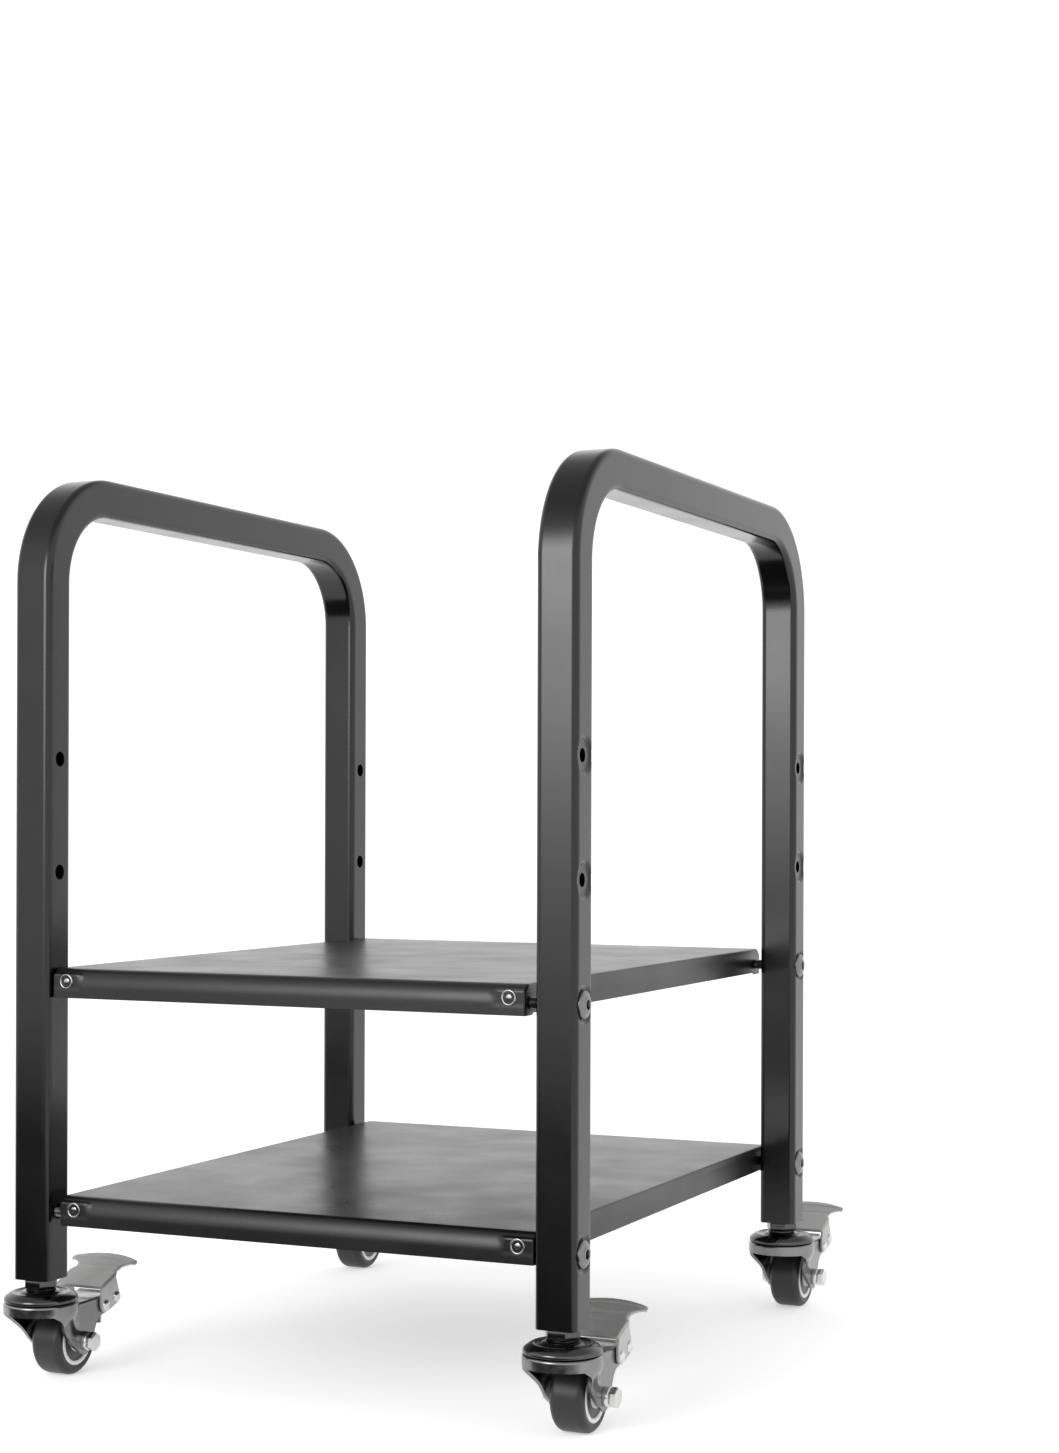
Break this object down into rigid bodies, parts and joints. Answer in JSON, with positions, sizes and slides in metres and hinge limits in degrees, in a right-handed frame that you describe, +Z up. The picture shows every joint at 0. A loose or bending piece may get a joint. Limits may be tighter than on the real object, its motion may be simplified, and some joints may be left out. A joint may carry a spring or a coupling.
{
  "type": "cpu holder",
  "caption": "Rolling stand for a computer tower: black bent-tube side frames, folded steel shelves bolted between them, and braked swivel casters.",
  "frame": {"origin": "centre of the whole stand's box, on the floor", "axes": "+X to the stand's right seen from the front, +Y to the back, +Z up"},
  "size_m": [0.344, 0.4258, 0.485],
  "materials": {
    "black_paint": "gloss black powder coat on steel tube",
    "shelf_paint": "satin black powder coat on folded sheet",
    "black_bolt": "black zinc",
    "black_nickel": "polished black nickel",
    "zinc_plated": "bright zinc",
    "wheel_core": "moulded light grey plastic",
    "tread_rubber": "dark grey rubber tread"
  },
  "bodies": {
    "root": {"side_frame_left": "black_paint", "side_frame_right": "black_paint", "upper_shelf": "shelf_paint", "lower_shelf": "shelf_paint", "shelf_rivets": "black_nickel", "shelf_nuts": "zinc_plated", "leg_bolts": "black_bolt", "leg_inserts": "zinc_plated", "lock_nuts": "black_nickel", "caster_stems": "zinc_plated", "bearing_cap_front_left": "black_nickel", "bearing_cap_front_right": "black_nickel", "bearing_cap_back_left": "black_nickel", "bearing_cap_back_right": "black_nickel"},
    "swivel_front_left": {"fork_front_left": "black_nickel", "bearing_balls_front_left": "zinc_plated", "axle_bolt_front_left": "zinc_plated", "axle_nut_front_left": "zinc_plated", "axle_sleeve_front_left": "zinc_plated", "pivot_pin_front_left": "zinc_plated"},
    "wheel_front_left": {"wheel_hub_front_left": "wheel_core", "tyre_front_left": "tread_rubber"},
    "pedal_front_left": {"brake_pedal_front_left": "black_nickel", "brake_pin_front_left": "zinc_plated", "brake_shoe_front_left": "zinc_plated"},
    "swivel_front_right": {"fork_front_right": "black_nickel", "bearing_balls_front_right": "zinc_plated", "axle_bolt_front_right": "zinc_plated", "axle_nut_front_right": "zinc_plated", "axle_sleeve_front_right": "zinc_plated", "pivot_pin_front_right": "zinc_plated"},
    "wheel_front_right": {"wheel_hub_front_right": "wheel_core", "tyre_front_right": "tread_rubber"},
    "pedal_front_right": {"brake_pedal_front_right": "black_nickel", "brake_pin_front_right": "zinc_plated", "brake_shoe_front_right": "zinc_plated"},
    "swivel_back_left": {"fork_back_left": "black_nickel", "bearing_balls_back_left": "zinc_plated", "axle_bolt_back_left": "zinc_plated", "axle_nut_back_left": "zinc_plated", "axle_sleeve_back_left": "zinc_plated", "pivot_pin_back_left": "zinc_plated"},
    "wheel_back_left": {"wheel_hub_back_left": "wheel_core", "tyre_back_left": "tread_rubber"},
    "pedal_back_left": {"brake_pedal_back_left": "black_nickel", "brake_pin_back_left": "zinc_plated", "brake_shoe_back_left": "zinc_plated"},
    "swivel_back_right": {"fork_back_right": "black_nickel", "bearing_balls_back_right": "zinc_plated", "axle_bolt_back_right": "zinc_plated", "axle_nut_back_right": "zinc_plated", "axle_sleeve_back_right": "zinc_plated", "pivot_pin_back_right": "zinc_plated"},
    "wheel_back_right": {"wheel_hub_back_right": "wheel_core", "tyre_back_right": "tread_rubber"},
    "pedal_back_right": {"brake_pedal_back_right": "black_nickel", "brake_pin_back_right": "zinc_plated", "brake_shoe_back_right": "zinc_plated"}
  },
  "joints": [
    {"name": "swivel_front_left", "type": "hinge", "parent": "root", "child": "swivel_front_left", "pos_m": [-0.151, -0.1927, 0.044], "axis": [0, 0, 1], "continuous": true},
    {"name": "wheel_spin_front_left", "type": "hinge", "parent": "swivel_front_left", "child": "wheel_front_left", "pos_m": [-0.151, -0.1717, 0.0185], "axis": [1, 0, 0], "continuous": true},
    {"name": "brake_front_left", "type": "hinge", "parent": "swivel_front_left", "child": "pedal_front_left", "pos_m": [-0.151, -0.1547, 0.0345], "axis": [-1, 0, 0], "range_deg": [0, 14]},
    {"name": "swivel_front_right", "type": "hinge", "parent": "root", "child": "swivel_front_right", "pos_m": [0.151, -0.1927, 0.044], "axis": [0, 0, 1], "continuous": true},
    {"name": "wheel_spin_front_right", "type": "hinge", "parent": "swivel_front_right", "child": "wheel_front_right", "pos_m": [0.151, -0.1717, 0.0185], "axis": [1, 0, 0], "continuous": true},
    {"name": "brake_front_right", "type": "hinge", "parent": "swivel_front_right", "child": "pedal_front_right", "pos_m": [0.151, -0.1547, 0.0345], "axis": [-1, 0, 0], "range_deg": [0, 14]},
    {"name": "swivel_back_left", "type": "hinge", "parent": "root", "child": "swivel_back_left", "pos_m": [-0.151, 0.1473, 0.044], "axis": [0, 0, 1], "continuous": true},
    {"name": "wheel_spin_back_left", "type": "hinge", "parent": "swivel_back_left", "child": "wheel_back_left", "pos_m": [-0.151, 0.1683, 0.0185], "axis": [1, 0, 0], "continuous": true},
    {"name": "brake_back_left", "type": "hinge", "parent": "swivel_back_left", "child": "pedal_back_left", "pos_m": [-0.151, 0.1853, 0.0345], "axis": [-1, 0, 0], "range_deg": [0, 14]},
    {"name": "swivel_back_right", "type": "hinge", "parent": "root", "child": "swivel_back_right", "pos_m": [0.151, 0.1473, 0.044], "axis": [0, 0, 1], "continuous": true},
    {"name": "wheel_spin_back_right", "type": "hinge", "parent": "swivel_back_right", "child": "wheel_back_right", "pos_m": [0.151, 0.1683, 0.0185], "axis": [1, 0, 0], "continuous": true},
    {"name": "brake_back_right", "type": "hinge", "parent": "swivel_back_right", "child": "pedal_back_right", "pos_m": [0.151, 0.1853, 0.0345], "axis": [-1, 0, 0], "range_deg": [0, 14]}
  ]
}
